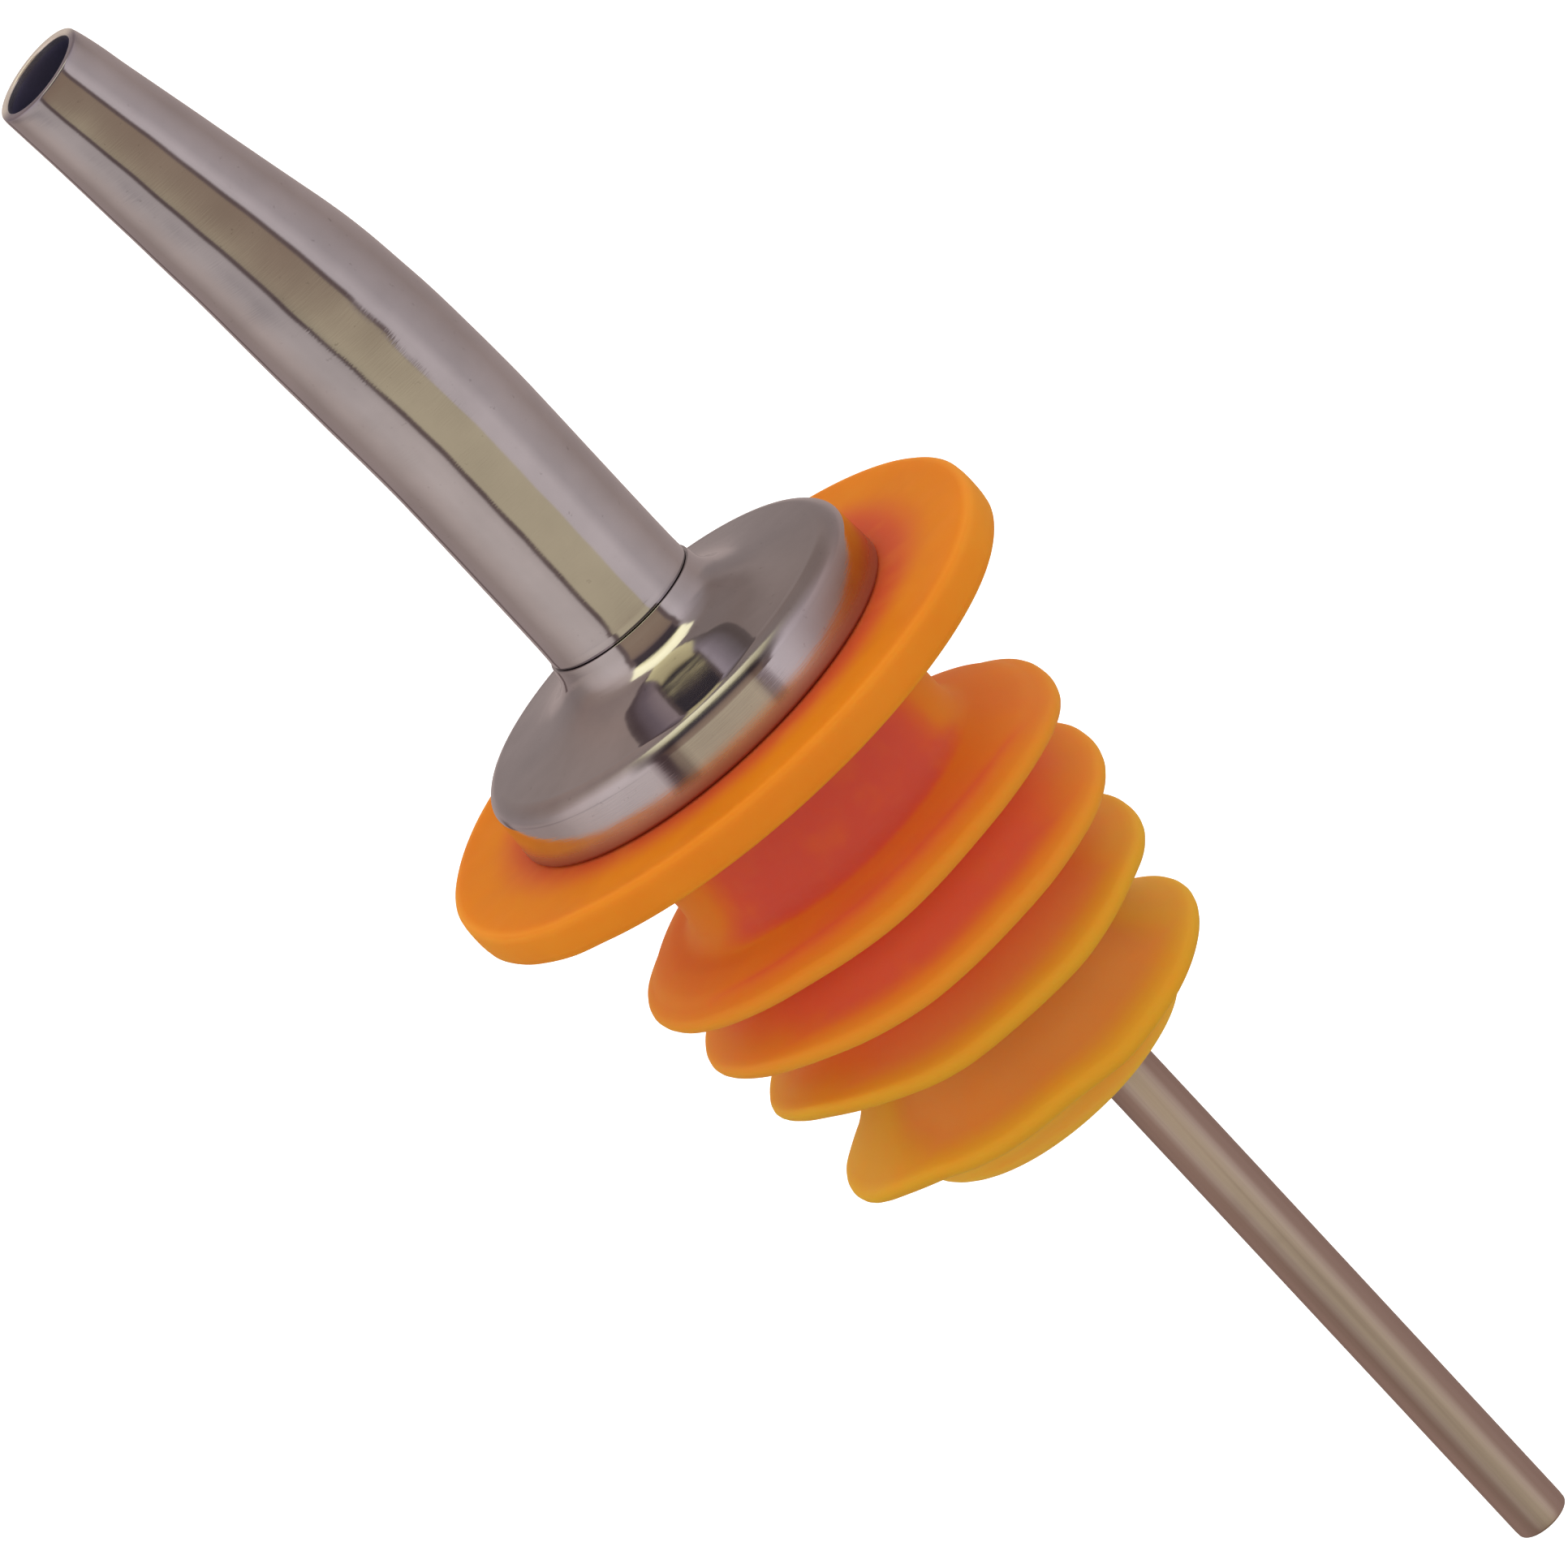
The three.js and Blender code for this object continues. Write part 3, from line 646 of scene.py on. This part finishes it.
zs = np.concatenate([np.linspace(8.68, 30, 60), np.linspace(30.3, 48.1, 70)])
spout_outline = [(4.36, 8.53, 0.04)] + [(float(rad_f(v)), float(v), 0) for v in zs]
spout_outline += [(2.745, TOP_Z, 0.14), (2.32, TOP_Z, 0.12)]
spout_outline += [(spout_inner(v), float(v), 0) for v in np.linspace(48.0, SOCKET_Z + 0.35, 60)]
spout_outline += [(SHANK_TOP_R + 0.06, SOCKET_Z, 0.1), (SHANK_TOP_R + 0.06, 8.53, 0.04)]
spout_profile = rounded(spout_outline, 0.45, 9.0)
is_inner = np.array([1.0 if r < float(rad_f(z)) - 0.22 and z < TOP_Z - 0.2 else 0.0 for r, z in spout_profile])
# the far half of the rolled rim is painted bright, a painted highlight where light catches its top; the near half is
# dull
rim = smooth01(spout_profile[:, 1], TOP_Z - 0.16, TOP_Z - 0.04)[None, :]
far = smooth01(np.sin(np.arange(192) * 2 * np.pi / 192), -0.35, 0.3)[:, None]
far_rim_highlight, is_inner = rim * far, np.maximum(is_inner[None, :], 0.4 * rim * (1 - far))


def spout_move(X, Y, Z, R, PHI):
    tilt = TILT * smooth01(Z, 18, TOP_Z + 4)
    dip = DIP * smooth01(Z, 36, TOP_Z)
    # bending has left the section a little oval, and dressing it by hand has left it slightly uneven
    oval = -0.055 * np.exp(-(((Z - 30.5) / 5.0) ** 2)) + 0.008 * np.sin(Z * 0.9 + 0.5) + 0.006 * np.sin(Z * 2.1)
    swell = 1 + oval * np.cos(2 * (PHI + math.pi / 4)) / 4.3
    X, Y = X * swell, Y * swell
    return lean_f(Z) + X * np.cos(tilt), Y * np.cos(dip), Z + X * np.sin(tilt) + Y * np.sin(dip)


# the plating is made a little darker beside the middle of the upper part
turn = np.arange(192) * 360 / 192
dull = (smooth01(turn, 222, 243) * (1 - smooth01(turn, 252, 262)))[:, None] * smooth01(spout_profile[:, 1], 22, 29)[None, :]
spout = revolve("spout_tube", spout_profile, 192, spout_move, {"inside": is_inner, "rim": far_rim_highlight, "dull": dull})
spout.data.materials.append(chrome_material("spout_chrome", CHROME, 0.08, srgb(162, 158, 190), dulled=True))
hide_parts("spout")
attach(spout, "spout_body")

# ---------------------------------------------------------------- shank
SHANK_R, SHANK_IN, TOP_IN = 5.0, 4.6, 3.65
shank_profile = rounded(
    [
        (SHANK_IN, -26.4, 0.15),
        (SHANK_R, -26.4, 0.15),
        (SHANK_R, 1.3, 1.2),
        (SHANK_TOP_R, 4.3, 1.2),
        (SHANK_TOP_R, 16.8, 0.1),
        (TOP_IN, 16.8, 0.1),
        (TOP_IN, 4.2, 1.2),
        (SHANK_IN, 1.2, 1.2),
    ],
    0.8,
    8.0,
)
shank = revolve("shank_tube", shank_profile, 128)
shank.data.materials.append(steel_tube_material("shank_steel", srgb(182, 178, 172), srgb(150, 146, 140), 0.28))
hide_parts("shank")
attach(shank, "spout_body")

# ---------------------------------------------------------------- breather tube
B_R, B_IN, B_LOW = 1.58, 1.2, -62.2
PATH = [
    (-62.2, 3.02),
    (-45, 2.99),
    (-28, 2.94),
    (-20, 2.9),
    (-12, 2.74),
    (-5, 2.36),
    (1, 1.98),
    (6, 1.86),
    (14, 1.86),
    (20, 1.84),
    (26, 1.66),
    (31, 1.28),
    (35, 0.6),
    (38.5, -0.08),
    (41.5, -0.74),
]
bx = curve_fn(PATH)
breather_profile = rounded(
    [(B_IN, B_LOW, 0.08), (B_R - 0.04, B_LOW, 0.22), (B_R - 0.01, B_LOW + 0.5, 0), (B_R - 0.01, 41.4, 0.1), (B_IN, 41.4, 0.08)],
    0.7,
    12.0,
)


def breather_move(X, Y, Z, R, PHI):
    lean = np.arctan((bx(Z + 0.5) - bx(Z - 0.5)) / 1.0)
    return bx(Z) + X * np.cos(lean), Y, Z - X * np.sin(lean)


# painted shade down one side of the tube, growing towards the lower end
painted_side_shade = smooth01(np.cos(np.arange(72) * 2 * np.pi / 72 - math.radians(250)), 0.77, 0.985)[:, None] * (smooth01(-breather_profile[:, 1], 27, 46))[None, :]
breather = revolve("breather_pipe", breather_profile, 72, breather_move, {"painted_side_shade": painted_side_shade})
breather.data.materials.append(steel_tube_material("breather_steel", srgb(246, 236, 226), srgb(222, 210, 198), 0.56, srgb(186, 160, 146), shaded=True))
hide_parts("breather_tube")
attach(breather, "spout_body")

# ---------------------------------------------------------------- solder saddle
def solder_mesh():
    tube_x, gap, reach = 2.86, B_R + 0.26, SHANK_IN - 0.26
    outside = B_R + 0.76
    n, m = 48, 26
    start = math.radians(66)
    rng = np.random.default_rng(7)
    lump = rng.normal(0, 1, (m, 6))
    rows = []
    for j in range(m):
        z = -22.4 + 6.8 * j / (m - 1)
        end = min(j, m - 1 - j) / (m - 1) * 2
        full = math.sqrt(max(0.0, 1 - (1 - min(1, end * 4)) ** 2)) * 0.75 + 0.25
        ring = []
        for i in range(n + 1):
            a = start + (2 * math.pi - 2 * start) * i / n
            wave = 0.02 * math.sin(5 * a + 0.9 * j) + 0.015 * math.sin(11 * a - 1.7 * j)
            ro = gap + (outside - gap - 0.04) * full + wave * full
            x, y = tube_x + ro * math.cos(a), ro * math.sin(a)
            d = math.hypot(x, y)
            if d > reach:
                x, y = x * reach / d, y * reach / d
            ring.append((x, y, z))
        for i in range(n, -1, -1):
            a = start + 0.1 + (2 * math.pi - 2 * (start + 0.1)) * i / n
            ring.append((tube_x + gap * math.cos(a), gap * math.sin(a), z))
        rows.append(ring)
    k = len(rows[0])
    verts = [tuple(c * MM for c in v) for ring in rows for v in ring]
    faces = []
    for j in range(m - 1):
        for i in range(k):
            a, b = j * k + i, j * k + (i + 1) % k
            faces.append((a, b, b + k, a + k))
    for i in range(n):  # caps between the outer and inner arcs
        lo_o, lo_o2, lo_i, lo_i2 = i, i + 1, k - 1 - i, k - 2 - i
        faces.append((lo_o, lo_i, lo_i2, lo_o2))
        t = (m - 1) * k
        faces.append((t + lo_o, t + lo_o2, t + lo_i2, t + lo_i))
    mesh = bpy.data.meshes.new("solder_fillet")
    mesh.from_pydata(verts, [], faces)
    mesh.validate()
    for p in mesh.polygons:
        p.use_smooth = True
    ob = bpy.data.objects.new("solder_fillet", mesh)
    bpy.context.scene.collection.objects.link(ob)
    return ob


solder = solder_mesh()
solder.data.materials.append(solder_material())
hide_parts("solder_saddle")
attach(solder, "spout_body")

# ---------------------------------------------------------------- floor
bpy.ops.mesh.primitive_grid_add(x_subdivisions=8, y_subdivisions=8, size=8.0, location=(0, 0, -0.42))
floor = bpy.context.object
floor.name = "studio_floor"
fm, fg, fb = new_material("floor_white")
fpos = fg.node("ShaderNodeTexCoord").outputs["Object"]
fg.link(fg.mix(fg.noise(fpos, 3.0, 3.0), (0.96, 0.96, 0.96, 1), (1, 1, 1, 1)), fb.inputs["Base Color"])
fb.inputs["Roughness"].default_value = 0.9
fb.inputs["Specular IOR Level"].default_value = 0.0
fb.inputs["Emission Color"].default_value = (1, 1, 1, 1)
fb.inputs["Emission Strength"].default_value = 0.5
floor.data.materials.append(fm)
floor.visible_glossy = False
floor.visible_diffuse = False
floor.visible_transmission = False

# ---------------------------------------------------------------- studio light
world = bpy.data.worlds.new("studio_tent")
bpy.context.scene.world = world
world.use_nodes = True
w = Graph(world.node_tree)
wout = w.node("ShaderNodeOutputWorld")
direction = w.node("ShaderNodeTexCoord").outputs["Generated"]
sep = w.node("ShaderNodeSeparateXYZ")
w.link(direction, sep.inputs[0])
dx, dy, dz = sep.outputs
az = w.math("MULTIPLY", w.math("ARCTAN2", dx, w.math("MULTIPLY", dy, -1.0)), 180 / math.pi)  # degrees, 0 at -Y, + towards +X
el = w.math("MULTIPLY", w.math("ARCSINE", dz), 180 / math.pi)
abs_az = w.math("ABSOLUTE", az)


def env(r, g, b, k=1.0):
    c = srgb(r, g, b)
    return (c[0] * k, c[1] * k, c[2] * k, 1.0)


K = 1.0 / 0.6  # the plating takes about four tenths of the light


def azf(deg):
    return deg / 360 + 0.5


tent = w.ramp(
    w.math("ADD", w.math("DIVIDE", az, 360.0), 0.5),
    [
        (azf(-180), env(140, 127, 124, K)),
        (azf(-142), env(130, 116, 114, K)),
        (azf(-116), env(135, 121, 117, K)),
        (azf(-90), env(158, 145, 141, K)),
        (azf(-66), env(168, 157, 154, K)),
        (azf(-46), env(168, 157, 154, K)),
        (azf(-34), env(161, 150, 147, K)),
        (azf(34), env(170, 160, 161, K)),
        (azf(50), env(170, 160, 161, K)),
        (azf(66), env(152, 142, 143, K)),
        (azf(90), env(147, 135, 134, K)),
        (azf(116), env(136, 122, 119, K)),
        (azf(140), env(137, 124, 122, K)),
        (azf(180), env(140, 127, 124, K)),
    ],
)


def elf(deg):
    return (deg + 30) / 120


high_front = w.ramp(
    w.linear(el, -30, 90),
    [
        (elf(-30), (0.80, 0.80, 0.81, 1)),
        (elf(-22), (0.90, 0.90, 0.90, 1)),
        (elf(-18), (1.0, 1.0, 1.0, 1)),
        (elf(-14), (0.99, 0.99, 0.99, 1)),
        (elf(-9), (0.94, 0.94, 0.95, 1)),
        (elf(2), (0.97, 0.97, 0.98, 1)),
        (elf(10), (1.0, 1.0, 1.02, 1)),
        (elf(20), (1.02, 1.02, 1.04, 1)),
        (elf(40), (1.05, 1.04, 1.06, 1)),
        (elf(60), (0.98, 0.96, 0.96, 1)),
        (elf(90), (0.80, 0.78, 0.76, 1)),
    ],
)
high_back = w.ramp(
    w.linear(el, -30, 90),
    [
        (elf(-30), (0.98, 0.98, 0.98, 1)),
        (elf(0), (1.0, 1.0, 1.0, 1)),
        (elf(7), (0.80, 0.81, 0.82, 1)),
        (elf(16), (0.79, 0.80, 0.81, 1)),
        (elf(24), (0.80, 0.79, 0.78, 1)),
        (elf(34), (0.86, 0.80, 0.76, 1)),
        (elf(60), (0.90, 0.87, 0.84, 1)),
        (elf(90), (0.80, 0.78, 0.76, 1)),
    ],
)
high = w.mix(w.smooth(abs_az, 95.0, 130.0), high_front, high_back)
tent = w.mix(1.0, tent, high, "MULTIPLY")
dim_left = w.math("MULTIPLY", w.smooth(el, -13.0, -9.0), w.smooth(az, -35.0, -64.0))
dim_left = w.math("MULTIPLY", dim_left, w.math("MULTIPLY", w.smooth(el, -3.0, -7.0), w.smooth(az, -150.0, -120.0)))
tent = w.mix(w.math("MULTIPLY", dim_left, 0.9), tent, w.mix(1.0, tent, (0.78, 0.78, 0.80, 1), "MULTIPLY"))
dim_right = w.math("MULTIPLY", w.smooth(el, 4.0, 12.0), w.smooth(el, 27.0, 20.0))
dim_right = w.math("MULTIPLY", dim_right, w.math("MULTIPLY", w.smooth(az, 120.0, 150.0), w.smooth(az, 180.0, 174.0)))
tent = w.mix(dim_right, tent, w.mix(1.0, tent, (0.92, 0.91, 0.91, 1), "MULTIPLY"))
dim_side = w.math("MULTIPLY", w.smooth(el, 22.0, 34.0), w.smooth(az, 60.0, 95.0))
tent = w.mix(dim_side, tent, w.mix(1.0, tent, (0.76, 0.77, 0.78, 1), "MULTIPLY"))


# a path that has already met the spout comes back from its sides weaker, and weakest on the left
paths = w.node("ShaderNodeLightPath")
twice = w.math("GREATER_THAN", paths.outputs["Glossy Depth"], 1.5)
weaker = w.ramp(
    w.math("ADD", w.math("DIVIDE", az, 360.0), 0.5),
    [
        (azf(-180), (0.7, 0.7, 0.7, 1)),
        (azf(-120), (0.42, 0.38, 0.45, 1)),
        (azf(-80), (0.46, 0.42, 0.50, 1)),
        (azf(-62), (0.62, 0.56, 0.62, 1)),
        (azf(-30), (0.95, 0.88, 0.92, 1)),
        (azf(30), (0.98, 0.96, 1.05, 1)),
        (azf(60), (0.92, 0.90, 0.98, 1)),
        (azf(120), (0.7, 0.7, 0.72, 1)),
        (azf(180), (0.7, 0.7, 0.7, 1)),
    ],
)
tent = w.mix(w.math("MULTIPLY", twice, w.smooth(el, 6.0, 16.0)), tent, w.mix(1.0, tent, weaker, "MULTIPLY"))


def slf(deg):
    return (deg + 90) / 180


# a strip that runs up the front and over the top: strip is the angle along it, across the angle to one side
strip = w.math("MULTIPLY", w.math("ARCTAN2", dz, w.math("MULTIPLY", dy, -1.0)), 180 / math.pi)  # 0 ahead, 90 overhead
across = w.math("MULTIPLY", w.math("ARCSINE", dx), 180 / math.pi)
slot = w.ramp(
    w.linear(strip, -90, 90),
    [
        (0.0, env(120, 112, 90, K)),
        (slf(-30), env(162, 152, 130, K)),
        (slf(-16), env(160, 149, 127, K)),
        (slf(-3), env(126, 110, 96, K)),
        (slf(5), env(122, 104, 90, K)),
        (slf(16), env(120, 102, 88, K)),
        (slf(34), env(114, 96, 84, K)),
        (slf(42), env(98, 82, 76, K)),
        (slf(50), env(58, 48, 52, K)),
        (slf(72), env(50, 43, 48, K)),
        (slf(77), env(226, 218, 176, K)),
        (slf(81), env(246, 241, 206, K)),
        (1.0, env(240, 234, 198, K)),
    ],
)
# what the foot of the spout sends back into the collar's top
slot_twice = w.ramp(
    w.linear(strip, -90, 90),
    [
        (0.0, env(120, 112, 90, K)),
        (slf(-16), env(160, 149, 127, K)),
        (slf(5), env(122, 104, 90, K)),
        (slf(20), env(62, 55, 60, K)),
        (slf(33), env(54, 48, 55, K)),
        (slf(56), env(52, 47, 53, K)),
        (slf(60), env(156, 144, 112, K)),
        (slf(64), env(192, 180, 140, K)),
        (1.0, env(204, 194, 150, K)),
    ],
)
slot = w.mix(twice, slot, slot_twice)
lift = w.smooth(strip, -12.5, -9.5)
lift_left = w.smooth(strip, -17.5, -14.0)
taper = w.math("MULTIPLY", w.smooth(strip, 28.0, 74.0), 9.0)
left_edge = w.math("SUBTRACT", w.math("ADD", 25.3, w.math("MULTIPLY", lift_left, 5.3)), taper)
right_edge = w.math("SUBTRACT", w.math("ADD", 26.9, w.math("MULTIPLY", lift, 7.2)), taper)
past_left = w.math("SUBTRACT", w.math("MULTIPLY", across, -1.0), left_edge)  # degrees outside the slot's left side
past_right = w.math("SUBTRACT", across, right_edge)
rim_left = w.math("MULTIPLY", w.smooth(past_left, -3.0, 0.5), w.smooth(past_left, 8.5, 3.5))
rim_right = w.math("MULTIPLY", w.smooth(past_right, -3.5, 0.5), w.smooth(past_right, 8.5, 3.5))
rim_right = w.math("MULTIPLY", rim_right, w.smooth(strip, -14.2, -11.2))
over_front = w.math("MULTIPLY", w.smooth(strip, 95.5, 93.0), w.smooth(strip, -100.0, -85.0))
outside_slot = w.math("MAXIMUM", w.smooth(past_left, -1.5, 1.5), w.smooth(past_right, -1.5, 1.5))
outside_slot = w.math("SUBTRACT", 1.0, w.math("MULTIPLY", w.math("SUBTRACT", 1.0, outside_slot), over_front))
ahead = w.smooth(strip, 80.0, 60.0)
mirror_env = w.mix(outside_slot, slot, tent)
mirror_env = w.mix(w.math("MULTIPLY", w.math("MAXIMUM", rim_left, rim_right), ahead), mirror_env, env(86, 72, 71, K))
soft = w.mix(w.linear(el, -90, 60), (0.86, 0.85, 0.84, 1), (1.04, 1.02, 1.0, 1))
seen = w.mix(paths.outputs["Is Glossy Ray"], soft, mirror_env)
seen = w.mix(paths.outputs["Is Camera Ray"], seen, (1, 1, 1, 1))
background = w.node("ShaderNodeBackground")
w.link(seen, background.inputs["Color"])
background.inputs["Strength"].default_value = 1.0
w.link(background.outputs[0], wout.inputs["Surface"])

# ---------------------------------------------------------------- camera
cam_data = bpy.data.cameras.new("camera")
cam = bpy.data.objects.new("camera", cam_data)
bpy.context.scene.collection.objects.link(cam)
bpy.context.scene.camera = cam
cam_data.sensor_width = 36.0
FOCAL_PX, WIDTH_PX = 11500.0, 1932.0
cam_data.lens = FOCAL_PX / WIDTH_PX * 36.0
cam_data.clip_start, cam_data.clip_end = 0.01, 50.0
ELEV, ROLL, DIST = math.radians(18.4), math.radians(42.906), 0.46939
target = Vector((0.053, 0.0, -4.17)) * MM
forward = Vector((0, math.cos(ELEV), -math.sin(ELEV)))
right0, up0 = Vector((1, 0, 0)), Vector((0, math.sin(ELEV), math.cos(ELEV)))
right = math.cos(ROLL) * right0 - math.sin(ROLL) * up0
up = math.sin(ROLL) * right0 + math.cos(ROLL) * up0
rot = Matrix((right, up, -forward)).transposed()
cam.matrix_world = Matrix.Translation(target - forward * DIST) @ rot.to_4x4()

# ---------------------------------------------------------------- colour handling
view = bpy.context.scene.view_settings
view.view_transform = "Standard"
view.look = "None"
view.exposure = 0.0
view.gamma = 1.0

bpy.context.view_layer.update()
